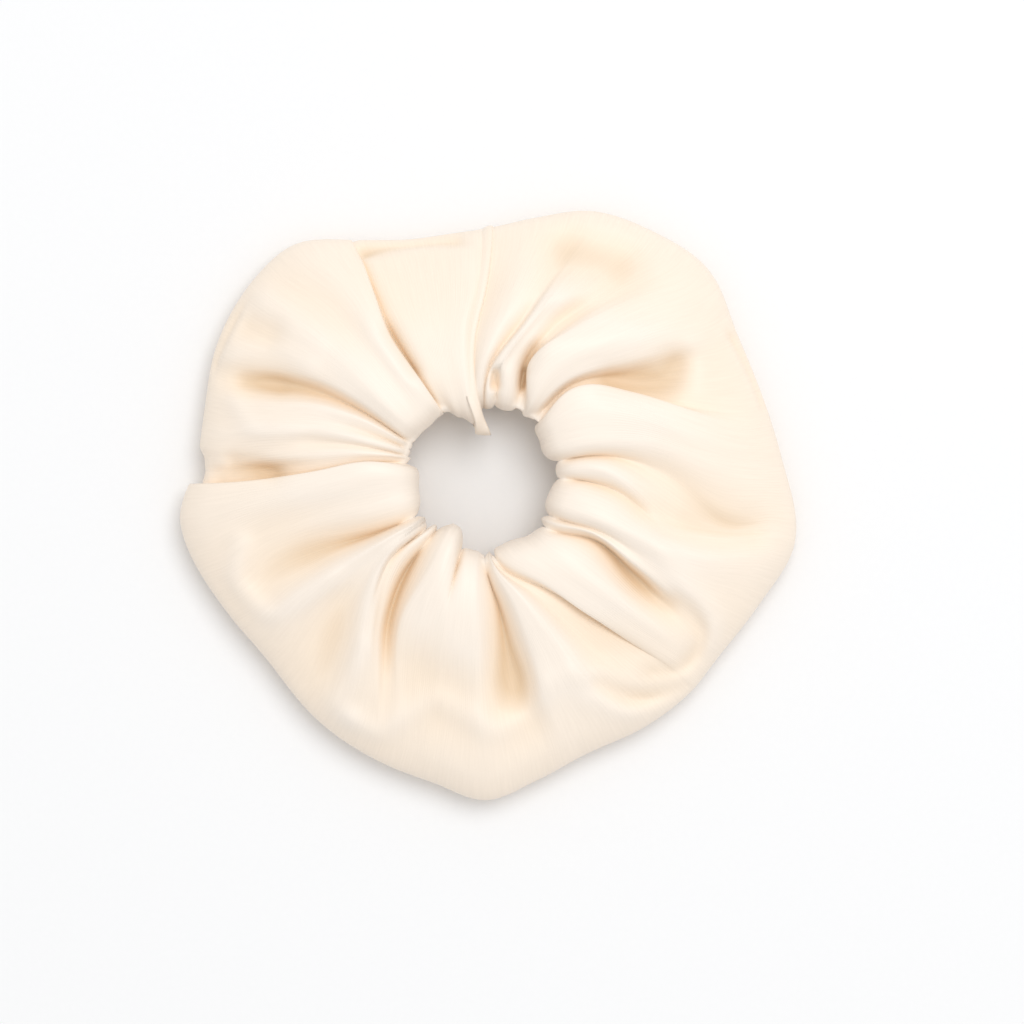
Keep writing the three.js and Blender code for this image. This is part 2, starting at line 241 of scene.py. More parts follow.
def through_stations(values, reach):
    """A smooth curve through a gather's values at the stations, held level past the ends."""
    stations = np.array(STATIONS, float)
    values = np.array(values, float)
    slopes = np.gradient(values, stations)
    slopes[0] *= 0.5
    slopes[-1] *= 0.3
    reach = np.clip(reach, stations[0], stations[-1])
    left = np.clip(np.searchsorted(stations, reach, side="right") - 1, 0, len(stations) - 2)
    span = stations[left + 1] - stations[left]
    t = (reach - stations[left]) / span
    straight = values[left] + (values[left + 1] - values[left]) * in_steps(t)
    return straight + span * (slopes[left] * out_of_start(t) + slopes[left + 1] * into_end(t))


def outer_edge(angles):
    """Distance of the outer edge at each angle, on a closed smooth curve through its points."""
    known = np.array([angle for angle, _ in OUTER_EDGE], float)
    reach = np.array([distance for _, distance in OUTER_EDGE], float)
    count = len(known)
    angles = np.mod(angles, 360)
    here = np.mod(np.searchsorted(known, angles, side="right") - 1, count)
    ahead = np.mod(here + 1, count)
    span = np.mod(known[ahead] - known[here], 360)
    t = np.mod(angles - known[here], 360) / span

    def slope(point):
        """How fast the distance changes at one of the edge's points."""
        before, after = np.mod(point - 1, count), np.mod(point + 1, count)
        return (reach[after] - reach[before]) / np.mod(known[after] - known[before], 360)

    straight = reach[here] + (reach[ahead] - reach[here]) * in_steps(t)
    return straight + span * (slope(here) * out_of_start(t) + slope(ahead) * into_end(t))


def curve_through(points):
    """Points on a smooth curve through the given ones."""
    known = np.array(points, float)
    known = np.concatenate([2 * known[:1] - known[1:2], known, 2 * known[-1:] - known[-2:-1]])
    t = np.linspace(0, 1, STROKE_STEPS, endpoint=False)[:, None]
    spans = []
    for before, here, after, beyond in zip(known, known[1:], known[2:], known[3:]):
        out, back = (after - before) / 2, (beyond - here) / 2
        straight = here + (after - here) * in_steps(t)
        spans.append(straight + out * out_of_start(t) + back * into_end(t))
    return np.concatenate(spans + [known[-2:-1]])


def stroke_lift(x, y):
    """What the soft ridges and hollows add to the height at x, y."""
    lift = np.zeros_like(x)
    for width, height, route in STROKES:
        nearest = np.full_like(x, 1e9)
        for route_x, route_y in curve_through(route):
            nearest = np.minimum(nearest, (x - route_x) ** 2 + (y - route_y) ** 2)
        lift += height * np.exp(-nearest / width**2)
    return lift


# ---- rows round the tube's section, columns along the ring --------------------------------
# How many columns a stretch between two gathers gets: for its width, its depth, and at least.
FOR_WIDTH, FOR_DEPTH, AT_LEAST = 0.5, 0.7, 2.5
# How steeply the cloth leaves each sort of gather.
CREASE_SLOPE = 1.57
CREASE_PULL = 0.57
TURN_SLOPE = 1.4
RIDGE_SLOPE = 0.7


def section_rows():
    """Angles round the section: 0 at the outer edge, pi at the hole, over the top, then under."""
    top = np.linspace(0, math.pi, TOP_ROWS, endpoint=False)
    under = np.linspace(math.pi, 2 * math.pi, UNDER_ROWS, endpoint=False)
    return np.concatenate([top, under])


def column_shares():
    """Number of columns in each stretch between two gathers: more where it is wide or deep."""
    widths = []
    for here, after in zip(GATHERS, GATHERS[1:] + GATHERS[:1]):
        turn = [abs((b - a + 180) % 360 - 180) for a, b in zip(here[1], after[1])]
        fall = [abs(b - a) for a, b in zip(here[2], after[2])]
        widths.append(FOR_WIDTH * sum(turn) / len(turn) + FOR_DEPTH * max(fall) + AT_LEAST)
    widths = np.array(widths)
    counts = np.maximum(4, np.floor(widths / widths.sum() * COLUMNS)).astype(int)
    order = np.argsort(-widths)
    step = 0
    while counts.sum() != COLUMNS:
        counts[order[step % len(order)]] += 1 if counts.sum() < COLUMNS else -1
        step += 1
    return counts


def end_slopes(what, crease, other_crease):
    """How fast the lift and the angle change where a stretch meets a gather of that sort."""
    if what == VALLEY:
        return CREASE_SLOPE * crease, 1 - crease
    if what == TURN:
        return np.full_like(crease, TURN_SLOPE), np.zeros_like(crease)
    if what == RIDGE:
        return np.full_like(crease, RIDGE_SLOPE), np.ones_like(crease)
    return np.zeros_like(crease), 1 + CREASE_PULL * other_crease


def between_gathers(here, after, wrap, count, reach):
    """The columns from one gather to the next: angles, lifts, hole radii and edge steps."""
    crease = np.clip(1.0 - (reach - CREASED_TO) / CREASE_FADE, 0.0, 1.0)
    creases = [crease if gather[0] == VALLEY else 0 * crease for gather in (here, after)]
    rise_first, turn_first = end_slopes(here[0], crease, creases[1])
    rise_last, turn_last = end_slopes(after[0], crease, creases[0])
    angle_here = through_stations(here[1], reach)
    angle_after = through_stations(after[1], reach) + wrap
    lift_here = through_stations(here[2], reach)
    lift_after = through_stations(after[2], reach)
    for step in range(count):
        t = step / count
        rise = rise_first * out_of_start(t) + in_steps(t) + rise_last * into_end(t)
        turn = turn_first * out_of_start(t) + in_steps(t) + turn_last * into_end(t)
        yield (
            angle_here + (angle_after - angle_here) * turn,
            lift_here + (lift_after - lift_here) * rise,
            here[3] + (after[3] - here[3]) * np.clip(rise[TOP_ROWS - 1], 0, 1),
            here[4] + (after[4] - here[4]) * in_steps(t),
        )


def all_columns(reach):
    """Angles and lifts as columns by rows, and each column's hole radius and edge step."""
    columns = []
    for index, count in enumerate(column_shares()):
        last = index == len(GATHERS) - 1
        after = GATHERS[0] if last else GATHERS[index + 1]
        columns += between_gathers(GATHERS[index], after, 360 if last else 0, count, reach)
    angles, lifts, holes, steps = (np.array(values) for values in zip(*columns))
    return angles, lifts, holes[:, None], steps[:, None]


def pressed_out(angle):
    """The same angles without the laps, so that the columns only ever go forward."""
    forward = np.maximum.accumulate(np.concatenate([angle - 360, angle], 0), 0)[len(angle):]
    for _ in range(6):
        wrapped = np.concatenate([forward[-1:] - 360, forward, forward[:1] + 360], 0)
        forward = (wrapped[:-2] + wrapped[2:] + 2 * forward) / 4
    return forward


def with_ledges(height, level, angle, reach, fade):
    """The top with a step down to the lower layer of cloth at each ledge."""
    for first, last, near_first, near_last in LEDGES:
        middle, half = (first + last) / 2, (last - first) / 2
        turned = (angle - middle + 180) % 360 - 180
        distance = (near_first + near_last) / 2 + (near_last - near_first) / 2 * turned / half
        inside = in_steps(np.clip(0.5 - (np.abs(turned) - half) / LEDGE_END, 0, 1))
        inside = inside * in_steps(np.clip((reach - distance) / LEDGE_STEP, 0, 1))
        dropped = height - LEDGE_DROP * inside * fade
        height = np.maximum(dropped, np.minimum(height, level + LEDGE_LEAST))
    return height


def over_elastic(height, elastic_far):
    """The top kept clear of the elastic: where it would go lower, it eases down onto it."""
    rest_on = ELASTIC_TOP + 0.6 - 1.3 * elastic_far**1.3
    lying_on = rest_on + 0.5 * np.exp((height - rest_on - 0.5) / 1.5)
    return np.where(height < rest_on + 0.5, lying_on, height)


def under_side(level, sag, angle, lift, share, fade, elastic_far):
    """The underside: it sags to the surface, and gathers up under the elastic in fine waves."""
    wander = 150 * np.sin(np.radians(2 * angle)) + 70 * np.sin(np.radians(7 * angle + 25))
    creep = UNDER_WAVE * (1 + np.sin(np.radians(angle * UNDER_COUNT + wander)))
    creep = creep * (0.75 + 0.25 * np.sin(np.radians(5 * angle + 40)))
    creep = creep * in_steps(np.clip((0.98 - share) / 0.4, 0, 1))
    lowest = level * (1 - sag)
    gathered = (np.maximum(0, -lift) * 0.9 + creep) * fade
    under_elastic = ELASTIC_BOTTOM - 0.8 + 1.2 * elastic_far
    height = lowest + np.minimum(gathered, np.maximum(0, under_elastic - lowest))
    height[:, TOP_ROWS + LONG_SEAM_ROW] += LONG_SEAM_DEPTH
    return height


def cloth_points():
    """The cloth's outer face as an array of points in millimetres, columns by rows."""
    rows = section_rows()
    over = np.cos(rows)
    up = np.abs(np.sin(rows))
    on_top = rows < math.pi
    share = (1 + np.sign(over) * np.abs(over) ** SECTION_FULLNESS) / 2

    angle, lift, hole, edge_step = all_columns(USUAL_HOLE + share * USUAL_BAND)
    pressed = np.clip(up / 0.5, 0, 1) * ~on_top
    angle = angle + (pressed_out(angle) - angle) * pressed[None, :]
    hole = np.minimum(hole, HOLE_WIDEST)
    edge = outer_edge(angle) + edge_step + SMOOTHED_OFF
    reach = hole + (edge - hole) * share[None, :]
    x = reach * np.cos(np.radians(angle))
    y = reach * np.sin(np.radians(angle))

    level = HOLE_EDGE_HEIGHT + (OUTER_EDGE_HEIGHT - HOLE_EDGE_HEIGHT) * share
    crown = HOLE_CROWN + (OUTER_CROWN - HOLE_CROWN) * share
    fade_edge = np.clip((1 - share) / EDGE_FADE, 0, 1) ** EDGE_FADE_CURVE
    fade = fade_edge * np.clip(up / HOLE_FADE, 0, 1)
    elastic_far = np.maximum(0, np.abs(reach - ELASTIC_RADIUS) - 1.0)
    top_height = level + crown * up**CROWN_FULLNESS + (lift + stroke_lift(x, y)) * fade
    top_height = with_ledges(top_height, level, angle, reach, fade_edge)
    top_height = over_elastic(top_height, elastic_far)
    sag = np.minimum(1, 1.3 * up)
    under_height = under_side(level, sag, angle, lift, share, fade, elastic_far)
    height = np.where(on_top[None, :], top_height, under_height)
    return np.stack([x, y, height], axis=2)


def smooth_cloth(points, passes):
    """Evens out neighbouring points round both ways of the tube."""
    for _ in range(passes):
        around = (np.roll(points, 1, 0) + np.roll(points, -1, 0)) / 2
        along = (np.roll(points, 1, 1) + np.roll(points, -1, 1)) / 2
        points = points + 0.5 * ((around + along) / 2 - points)
    return points


def painted_light_mask(points):
    """How far each point stands out from the cloth round it, from 0 in a gather to 1 on a ridge: the mask
    for painted shade in the gathers and a painted highlight on the ridges.
    """
    broad = points[:, :, 2]
    for _ in range(PAINTED_LIGHT_BLUR):
        around = np.roll(broad, 1, 0) + np.roll(broad, -1, 0)
        along = np.roll(broad, 1, 1) + np.roll(broad, -1, 1)
        broad = (around + along) / 4
    return np.clip(0.5 + (points[:, :, 2] - broad) / PAINTED_LIGHT_RANGE, 0, 1)


# ---- making a piece ------------------------------------------------------------------------
THREAD_RADIUS = 0.1
THREAD_END = 0.55


def to_frame(points):
    """Millimetres round the ring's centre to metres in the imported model's frame."""
    return np.asarray(points, float) * MM + np.array([RING_X, RING_Y, 0.0])


def new_piece(name, points, faces, uvs=None):
    """A smooth-shaded mesh object at the origin, from points in millimetres."""
    mesh = bpy.data.meshes.new(name)
    mesh.from_pydata(to_frame(points).tolist(), [], faces)
    mesh.update()
    if uvs is not None:
        layer = mesh.uv_layers.new(name="cloth")
        layer.data.foreach_set("uv", np.asarray(uvs, float).ravel())
    mesh.polygons.foreach_set("use_smooth", [True] * len(mesh.polygons))
    piece = bpy.data.objects.new(name, mesh)
    bpy.context.scene.collection.objects.link(piece)
    return piece


def facing_outwards(piece):
    """The same piece with every face turned outwards."""
    turned = bmesh.new()
    turned.from_mesh(piece.data)
    bmesh.ops.recalc_face_normals(turned, faces=turned.faces)
    turned.to_mesh(piece.data)
    turned.free()
    return piece


def running_length(points, axis):
    """Mean distance from the start to each line of points, once round and back to the start."""
    steps = np.linalg.norm(np.roll(points, -1, axis) - points, axis=2).mean(1 - axis)
    return np.concatenate([[0], np.cumsum(steps)])


def closed_grid(name, points):
    """A piece closed both ways, from columns by rows of points in millimetres."""
    columns, rows = points.shape[:2]
    index = np.arange(columns * rows).reshape(columns, rows)
    after, above = np.roll(index, -1, 0), np.roll(index, -1, 1)
    faces = np.stack([index, after, np.roll(after, -1, 1), above], axis=-1).reshape(-1, 4)
    u, v = running_length(points, 0), running_length(points, 1)
    u, v = u / u[-1], v / v[-1]
    corners = [(u[:-1], v[:-1]), (u[1:], v[:-1]), (u[1:], v[1:]), (u[:-1], v[1:])]
    uvs = [np.stack(np.meshgrid(across, along, indexing="ij"), -1) for across, along in corners]
    uvs = np.stack(uvs, axis=2)
    return facing_outwards(new_piece(name, points.reshape(-1, 3), faces.tolist(), uvs))


def open_strip(name, points):
    """A piece closed round its section, with flat closed ends."""
    columns, rows = points.shape[:2]
    index = np.arange(columns * rows).reshape(columns, rows)
    here, after = index[:-1], index[1:]
    sides = np.stack([here, after, np.roll(after, -1, 1), np.roll(here, -1, 1)], -1)
    faces = sides.reshape(-1, 4).tolist()
    for end in (index[0].tolist(), index[-1].tolist()):
        for k in range(rows // 2 - 1):
            faces.append((end[k], end[k + 1], end[rows - 2 - k], end[rows - 1 - k]))
    return facing_outwards(new_piece(name, points.reshape(-1, 3), faces))


def unit(vectors):
    """The same directions, each one long."""
    return vectors / np.maximum(np.linalg.norm(vectors, axis=-1, keepdims=True), 1e-9)


def thread_piece(name, routes, sides=6):
    """Short lengths of thread: each route is a list of points in millimetres, closed at its ends."""
    vertices, faces = [], []
    turns = np.linspace(0, 2 * math.pi, sides, endpoint=False)
    for route in routes:
        route = np.array(route, float)
        along = unit(np.gradient(route, axis=0))
        side = unit(np.cross(along, [0.3, 0.2, 1.0]))
        up = np.cross(side, along)
        taper = np.full(len(route), THREAD_RADIUS)
        taper[[0, -1]] = THREAD_RADIUS * THREAD_END
        start = len(vertices)
        for place, s, u, r in zip(route, side, up, taper):
            vertices += [place + r * (math.cos(t) * s + math.sin(t) * u) for t in turns]
        for ring in range(len(route) - 1):
            low = start + ring * sides
            high = low + sides
            for k in range(sides):
                ahead = (k + 1) % sides
                faces.append((low + k, high + k, high + ahead, low + ahead))
        faces.append([start + k for k in range(sides)])
        faces.append([len(vertices) - sides + k for k in reversed(range(sides))])
    return new_piece(name, vertices, faces)


# ---- the satin cover ----------------------------------------------------------------------
outer_face = smooth_cloth(cloth_points(), 2)

cover = closed_grid("satin_cover", outer_face)
# The cover's mask for painted shade in its gathers and a painted highlight on its ridges.
painted_light_layer = cover.data.attributes.new("painted_light_mask", "FLOAT", "POINT")
painted_light_layer.data.foreach_set("value", painted_light_mask(outer_face).ravel())

bpy.ops.object.select_all(action="DESELECT")
bpy.context.view_layer.objects.active = cover
cover.select_set(True)
thickness = cover.modifiers.new("cloth thickness", "SOLIDIFY")
thickness.thickness = CLOTH_THICK * MM
thickness.offset = -1
bpy.ops.object.modifier_apply(modifier=thickness.name)

# ---- the cross seam: a welt with its row of stitches ---------------------------------------
# Sections of the welt and of its tab at the hole: across to the left, and out from the cloth.
WELT_SECTION = (
    (-0.25, -0.35), (-0.32, 0.05), (-0.18, 0.34), (0.2, 0.47), (0.7, 0.42), (1.2, 0.26), (1.7, 0.04),
    (2.1, -0.2), (1.2, -0.5), (0.3, -0.5),
)
TAB_SECTION = (
    (-1.1, -0.3), (-1.2, 0.05), (-1.1, 0.35), (-0.6, 0.42), (0.0, 0.42), (0.6, 0.36), (1.1, 0.15),
    (1.2, -0.3), (1.1, -0.7), (0.0, -0.6),
)
TAB_HANG = np.array([0.0, -1.0, -0.1])
TAB_LENGTH = 1.9
TAB_ROOT = -0.35
TAB_AT = 0.1
TAB_SPREAD = 0.3
TAB_DRIFT = 0.9
DRIFT_SPREAD = 0.8
STITCH_SPACING = 2.2
STITCH_SLANT = 0.35
STITCH_SECTION = ((-0.12, 0.22), (-0.25, 0.14), (-0.34, 0.0), (-0.4, -0.12), (-0.45, -0.3))

smoothed_face = smooth_cloth(outer_face, 4)
seam_line = smoothed_face[0]
seam_along = unit(np.roll(seam_line, -1, 0) - np.roll(seam_line, 1, 0))
seam_across = unit(smoothed_face[-2] - smoothed_face[2])
seam_across = unit(seam_across - seam_along * (seam_across * seam_along).sum(1, keepdims=True))
seam_out = np.cross(seam_across, seam_along)
if ((seam_line - seam_line.mean(axis=0)) * seam_out).sum() < 0:
    seam_out = -seam_out
past_hole = section_rows() - math.pi


def on_seam(across, out, row):
    """A point beside the seam: across it to the left and out from the cloth, at a row."""
    return seam_line[row] - seam_across[row] * across + seam_out[row] * out


def welt_points():
    """The welt's section carried round the seam, which turns into the hanging tab at the hole."""
    rings = []
    for row, past in enumerate(past_hole):
        at_tab = math.exp(-(((past + TAB_AT) / TAB_SPREAD) ** 4))
        hang = TAB_HANG * TAB_LENGTH * at_tab
        drift = np.array([TAB_DRIFT * math.exp(-((past / DRIFT_SPREAD) ** 2)), 0, 0])
        ring = []
        for (across, out), (tab_across, tab_out) in zip(WELT_SECTION, TAB_SECTION):
            flat = on_seam(across, out, row) + drift
            straight = seam_line[row] + drift + seam_out[row] * tab_out
            straight = straight - np.array([tab_across, 0, 0])
            ring.append(flat + (straight - flat) * at_tab + hang * (tab_out > TAB_ROOT))
        rings.append(ring)
    return np.array(rings)


def closing_stitches():
    """Slanting stitches that catch the welt's right edge to the cloth, all the way round."""
    lengths = running_length(seam_line[:, None, :], 0)
    slants = np.linspace(-STITCH_SLANT, STITCH_SLANT, len(STITCH_SECTION))
    routes = []
    for start in np.arange(0.5, lengths[-1] - 1, STITCH_SPACING):
        row = int(np.searchsorted(lengths, start)) % len(seam_line)
        points = [on_seam(across, out, row) for across, out in STITCH_SECTION]
        routes.append([point + seam_along[row] * slant for point, slant in zip(points, slants)])
    return routes


welt = closed_grid("closing_welt", welt_points())
stitches = thread_piece("closing_stitches", closing_stitches())

# ---- the long seam, inside underneath ------------------------------------------------------
ALLOWANCE_ROWS = 6
ALLOWANCE_GAP = 0.1
ALLOWANCE_THICK = 0.6
LONG_STITCH_COLUMNS = 3
LONG_STITCH_DIP = 0.2

first_row = TOP_ROWS + LONG_SEAM_ROW
near = CLOTH_THICK + ALLOWANCE_GAP
far = near + ALLOWANCE_THICK
cloth_out = unit(np.cross(
    np.roll(outer_face, -1, 0) - np.roll(outer_face, 1, 0),
    np.roll(outer_face, -1, 1) - np.roll(outer_face, 1, 1),
))
if cloth_out[0, TOP_ROWS // 2, 2] < 0:
    cloth_out = -cloth_out
smooth_out = unit(smooth_cloth(cloth_out, 6))


def inside_cloth(row, depth):
    """The line of points at a row, that far inside the cloth's outer face."""
    return outer_face[:, row] - smooth_out[:, row] * depth


def allowance_points():
    """The two raw edges, pressed flat together against the cloth as one strip."""
    seam_rows = range(first_row, first_row + ALLOWANCE_ROWS)
    strip = [inside_cloth(row, near) for row in seam_rows]
    strip += [inside_cloth(row, far) for row in reversed(seam_rows)]
    return np.stack(strip, axis=1)


def long_seam_stitches():
    """Running stitches along the seam allowance, close to the seam."""
    line = inside_cloth(first_row + 1, far + THREAD_RADIUS)
    routes = []
    for start in range(0, COLUMNS - LONG_STITCH_COLUMNS, LONG_STITCH_COLUMNS + 1):
        end = start + LONG_STITCH_COLUMNS
        stitch = line[start:end + 1].copy()
        stitch[[0, -1]] += smooth_out[[start, end], first_row + 1] * LONG_STITCH_DIP
        routes.append(stitch)
    return routes


allowance = closed_grid("seam_allowance", allowance_points())
long_stitches = thread_piece("long_seam_stitches", long_seam_stitches(), 5)

# ---- the elastic, with its lapped ends sewn by a zigzag ------------------------------------
LAP_MIDDLE = 205
LAP_HALF = 20
LAP_STEP = 0.56
ELASTIC_CORDS = 7
CORD_DEPTH = 0.2
ELASTIC_COLUMNS = 220
ELASTIC_ROWS = 28
ZIGZAG_TURNS = 7
ZIGZAG_HALF_ANGLE = 11
ZIGZAG_RISE = 2.2
ZIGZAG_OUT = 2.1 * LAP_STEP + 0.02


def elastic_section(middle, direction):
    """Points round the band's section, out and back, ribbed by its rubber cords."""
    section = []
    for side in (1, -1):
        for share in np.linspace(0, 1, ELASTIC_ROWS):
            height = share if side == 1 else 1 - share
            cord = abs(math.sin(math.pi * ELASTIC_CORDS * height))
            edge = min(1, 8 * min(height, 1 - height) + 0.35)
            thick = ELASTIC_THICK / 2 * edge * (1 - CORD_DEPTH + CORD_DEPTH * cord)
            z = ELASTIC_BOTTOM + (ELASTIC_TOP - ELASTIC_BOTTOM) * height
            section.append(direction * (middle + side * thick) + np.array([0, 0, z]))
    return section


def elastic_points():
    """The band's section carried once round and past its start, outside at one end of the lap."""
    first, last = LAP_MIDDLE - LAP_HALF, LAP_MIDDLE + LAP_HALF + 360
    columns = []
    for angle in np.linspace(first, last, ELASTIC_COLUMNS):
        done = (angle - first) / (2 * LAP_HALF)
        left = (last - angle) / (2 * LAP_HALF)
        outwards = in_steps(min(1, max(0, 1.5 - done)))
        inwards = in_steps(min(1, max(0, 1.5 - left)))
        middle = ELASTIC_RADIUS + LAP_STEP * (outwards - inwards)
        turned = math.radians(angle)
        direction = np.array([math.cos(turned), math.sin(turned), 0])
        columns.append(elastic_section(middle, direction))
    return np.array(columns)


def zigzag():
    """The lap's zigzag of thread, on the band's outer face and on its inner face."""
    routes = []
    for reach in (ELASTIC_RADIUS + ZIGZAG_OUT, ELASTIC_RADIUS - ZIGZAG_OUT):
        route = []
        for share in np.linspace(0, 1, ZIGZAG_TURNS * 10 + 1):
            angle = math.radians(LAP_MIDDLE + ZIGZAG_HALF_ANGLE * (2 * share - 1))
            swing = math.asin(0.95 * math.sin(2 * math.pi * ZIGZAG_TURNS * share)) / 1.25
            z = (ELASTIC_BOTTOM + ELASTIC_TOP) / 2 + ZIGZAG_RISE * swing
            route.append((reach * math.cos(angle), reach * math.sin(angle), z))
        routes.append(route)
    return routes


elastic = open_strip("elastic_loop", elastic_points())
lap_zigzag = thread_piece("elastic_zigzag", zigzag())

# ---- materials ----------------------------------------------------------------------------
# The satin's colours: a painted highlight, pale on the ridges; its plain cream; and painted shade, deep
# orange in the gathers. The stops say where on the mask each one takes over.
PAINTED_HIGHLIGHT_CREAM = (0.97, 0.87, 0.765, 1)
CREAM = (0.965, 0.82, 0.665, 1)
PAINTED_SHADE_CREAM = (0.80, 0.61, 0.415, 1)
THREAD_DARK = (0.86, 0.74, 0.60, 1)
THREAD_LIGHT = (0.93, 0.84, 0.72, 1)
BRAID_LIGHT = (0.86, 0.84, 0.80, 1)
BRAID_DARK = (0.70, 0.68, 0.63, 1)
PAPER_DARK = (0.882, 0.884, 0.888, 1)
PAPER_LIGHT = (0.897, 0.899, 0.903, 1)
PAINTED_SHADE_TO = 0.08
CREAM_AT = 0.38
PAINTED_HIGHLIGHT_FROM = 0.8
RIBS_ROUND = 640
WELT_RIBS = 90
RIB_DEPTH = 0.014 * MM
PLY_DEPTH = 0.04 * MM
YARN_DEPTH = 0.1 * MM


def material_with(name, roughness, sheen, specular=0.5):
    """A new material, its node tree and its shader."""
    material = bpy.data.materials.new(name)
    material.use_nodes = True
    tree = material.node_tree
    shader = tree.nodes["Principled BSDF"]
    shader.inputs["Roughness"].default_value = roughness
    shader.inputs["Sheen Weight"].default_value = sheen
    shader.inputs["Sheen Roughness"].default_value = 0.45
    shader.inputs["Specular IOR Level"].default_value = specular
    return material, tree, shader


def put(tree, socket, value):
    """Links a socket into another, or sets the other to a plain value."""
    if isinstance(value, bpy.types.NodeSocket):
        tree.links.new(value, socket)
    else:
        socket.default_value = value


def node(tree, kind, inputs=None, **settings):
    """A new node with those settings, and its inputs linked or set."""
    made = tree.nodes.new(kind)
    for key, value in settings.items():
        setattr(made, key, value)
    for key, value in (inputs or {}).items():
        put(tree, made.inputs[key], value)
    return made


def mixed(tree, factor, first, second, blend="MIX"):
    """The colour part way from first to second."""
    inputs = {0: factor, 6: first, 7: second}
    return node(tree, "ShaderNodeMix", inputs, data_type="RGBA", blend_type=blend).outputs[2]


def sum_of(tree, operation, *values):
    """One step of arithmetic on sockets or numbers."""
    return node(tree, "ShaderNodeMath", dict(enumerate(values)), operation=operation).outputs[0]


def mottle(tree, place, scale, detail=2.0):
    """Soft random mottling at that scale."""
    inputs = {"Vector": place, "Scale": scale, "Detail": detail}
    return node(tree, "ShaderNodeTexNoise", inputs).outputs["Fac"]


def spread(tree, value, low, high):
    """A value from 0 to 1 spread from low to high."""
    inputs = {"Value": value, "To Min": low, "To Max": high}
    return node(tree, "ShaderNodeMapRange", inputs).outputs[0]


def raised(tree, shader, height, distance, strength):
    """Raises the material's surface by a height, as seen by the light."""
    bump = node(tree, "ShaderNodeBump", {"Height": height, "Distance": distance, "Strength": strength})
    tree.links.new(bump.outputs["Normal"], shader.inputs["Normal"])


def shade_and_mottle_cream(tree, shade_and_mottle_value):
    """The cream for each mask value: painted shade in the gathers and a painted highlight on the ridges;
    from a mottling mask, random patches of cream.
    """
    ramp = node(tree, "ShaderNodeValToRGB", {"Fac": shade_and_mottle_value})
    stops = ramp.color_ramp.elements
    stops.new(PAINTED_SHADE_TO).color = PAINTED_SHADE_CREAM
    stops.new(CREAM_AT).color = CREAM
    stops[0].color = PAINTED_SHADE_CREAM
    stops[-1].color = PAINTED_HIGHLIGHT_CREAM
    stops[-1].position = PAINTED_HIGHLIGHT_FROM
    return ramp.outputs["Color"]


def satin(name, ribs_round, folds=True):
    """Cream satin: fine ribs that run with the cloth, a soft sheen, and painted shade in the gathers with
    a painted highlight on the ridges; without folds, random patches of cream instead.
    """
    material, tree, shader = material_with(name, 0.42, 0.12, 0.35)
    cloth = node(tree, "ShaderNodeUVMap", uv_map="cloth").outputs["UV"]
    split = node(tree, "ShaderNodeSeparateXYZ", {"Vector": cloth})
    stretched = node(tree, "ShaderNodeMapping", {"Vector": cloth, "Scale": (900.0, 14.0, 1.0)})
    slub = mottle(tree, stretched.outputs[0], 1.0)
    patch = mottle(tree, cloth, 9.0)

    place = sum_of(tree, "MULTIPLY", split.outputs["X"], float(ribs_round))
    wandering = sum_of(tree, "MULTIPLY_ADD", mottle(tree, cloth, 14.0, 3.0), 1.2, place)
    rib = sum_of(tree, "SINE", sum_of(tree, "MULTIPLY", wandering, 2 * math.pi))
    clear = {"Value": patch, "From Min": 0.35, "From Max": 0.65}
    fading_rib = sum_of(tree, "MULTIPLY", rib, node(tree, "ShaderNodeMapRange", clear).outputs[0])
    height = sum_of(tree, "MULTIPLY_ADD", slub, 1.6, fading_rib)
    raised(tree, shader, height, RIB_DEPTH, 0.7)

    # With folds, the colour is painted shade in the gathers and a painted highlight on the ridges, from
    # the cover's mask; without, random patches.
    if folds:
        shade_and_mottle_here = node(tree, "ShaderNodeAttribute", attribute_name="painted_light_mask").outputs["Fac"]
    else:
        shade_and_mottle_here = spread(tree, patch, 0.45, 0.75)
    tint = spread(tree, slub, 0.95, 1.04)
    put(tree, shader.inputs["Base Color"], mixed(tree, 1.0, shade_and_mottle_cream(tree, shade_and_mottle_here), tint, "MULTIPLY"))
    put(tree, shader.inputs["Roughness"], spread(tree, slub, 0.36, 0.5))
    return material


def thread_finish():
    """Cream sewing thread, twisted, with a slight shine."""
    material, tree, shader = material_with("cream_thread", 0.5, 0.2)
    place = node(tree, "ShaderNodeTexCoord").outputs["Object"]
    ply = mottle(tree, place, 2600.0)
    put(tree, shader.inputs["Base Color"], mixed(tree, ply, THREAD_DARK, THREAD_LIGHT))
    raised(tree, shader, ply, PLY_DEPTH, 0.6)
    return material


def elastic_finish():
    """Off-white braided elastic: small yarn bumps over matt rubber cords."""
    material, tree, shader = material_with("white_braid", 0.8, 0.15, 0.3)
    place = node(tree, "ShaderNodeTexCoord").outputs["Object"]
    yarn = node(tree, "ShaderNodeTexVoronoi", {"Vector": place, "Scale": 1400.0}).outputs["Distance"]
    put(tree, shader.inputs["Base Color"], mixed(tree, yarn, BRAID_LIGHT, BRAID_DARK))
    raised(tree, shader, yarn, YARN_DEPTH, 0.6)
    return material


def paper_finish():
    """The white surface that the scrunchie lies on, with a faint grain."""
    material, tree, shader = material_with("white_paper", 0.9, 0.0, 0.2)
    place = node(tree, "ShaderNodeTexCoord").outputs["Object"]
    grain = mottle(tree, place, 900.0)
    put(tree, shader.inputs["Base Color"], mixed(tree, grain, PAPER_DARK, PAPER_LIGHT))
    shader.inputs["Emission Color"].default_value = (1, 1, 1, 1)
    shader.inputs["Emission Strength"].default_value = 0.045
    return material


cover.data.materials.append(satin("cream_satin", RIBS_ROUND))
welt.data.materials.append(satin("cream_satin_welt", WELT_RIBS, folds=False))
allowance.data.materials.append(satin("cream_satin_allowance", RIBS_ROUND, folds=False))
thread_material = thread_finish()
for piece in (stitches, long_stitches, lap_zigzag):
    piece.data.materials.append(thread_material)
elastic.data.materials.append(elastic_finish())
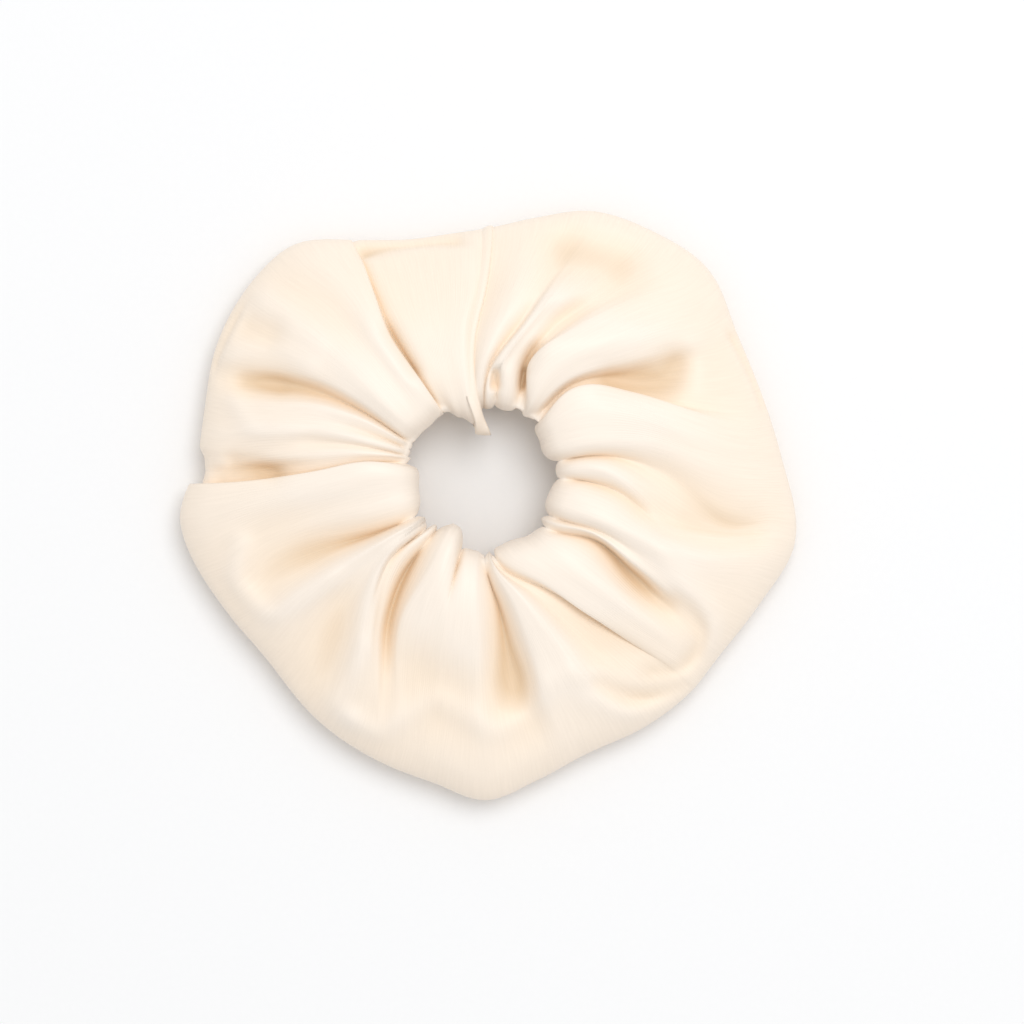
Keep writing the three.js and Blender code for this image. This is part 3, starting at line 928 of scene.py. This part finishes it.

# ---- the imported parts hidden, and the new pieces baked where they stand ------------------
BOTH = ("left", "right")
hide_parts("cover_left", "cover_right")
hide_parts("closing_seam_welt")
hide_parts("closing_seam_thread")
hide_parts(*[f"long_seam_allowance_{side}" for side in BOTH])
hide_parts(*[f"long_seam_thread_{side}" for side in BOTH])
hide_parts("elastic_upper_end", "elastic_lower_end", "elastic_right")
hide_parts("elastic_lap_thread")
SLOTS = ((cover, "satin"), (welt, "satin"), (allowance, "satin"), (elastic, "elastic"))
SLOTS += ((stitches, "thread"), (long_stitches, "thread"), (lap_zigzag, "thread"))
for piece, slot in SLOTS:
    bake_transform(piece)

# ---- floor, camera, light -----------------------------------------------------------------
FLOOR_SIZE = 3
FLOOR_DROP = 0.1 * MM
VIEW_WIDTH = 190.5 * MM
CAMERA_HEIGHT = 1.2
CAMERA_PLACE = (RING_X + 5.43 * MM, RING_Y - 5.95 * MM, CAMERA_HEIGHT)
RING_HEIGHT = 10 * MM
STUDIO_WHITE = (0.995, 0.997, 1, 1)
STUDIO_STRENGTH = 0.7
KEY_PLACE = (0.28, 0.42, 1.3)
KEY_SIZE = 0.9
KEY_POWER = 8.2

bpy.ops.mesh.primitive_plane_add(size=FLOOR_SIZE, location=(0, 0, -FLOOR_DROP))
floor = bpy.context.object
floor.name = "floor"
floor.data.materials.append(paper_finish())

camera_data = bpy.data.cameras.new("camera")
camera_data.sensor_width = 36
camera_data.lens = camera_data.sensor_width * (CAMERA_HEIGHT - RING_HEIGHT) / VIEW_WIDTH
camera = bpy.data.objects.new("camera", camera_data)
camera.location = CAMERA_PLACE
bpy.context.scene.collection.objects.link(camera)
bpy.context.scene.camera = camera

world = bpy.data.worlds.new("studio")
bpy.context.scene.world = world
world.use_nodes = True
background = world.node_tree.nodes["Background"]
background.inputs["Color"].default_value = STUDIO_WHITE
background.inputs["Strength"].default_value = STUDIO_STRENGTH

softbox = bpy.data.lights.new("key", "AREA")
softbox.shape = "DISK"
softbox.size = KEY_SIZE
softbox.energy = KEY_POWER
lamp = bpy.data.objects.new("key", softbox)
lamp.location = KEY_PLACE
lamp.rotation_euler = (-Vector(KEY_PLACE)).to_track_quat("-Z", "Y").to_euler()
bpy.context.scene.collection.objects.link(lamp)
bpy.context.scene.view_settings.view_transform = "Standard"

bpy.context.view_layer.update()
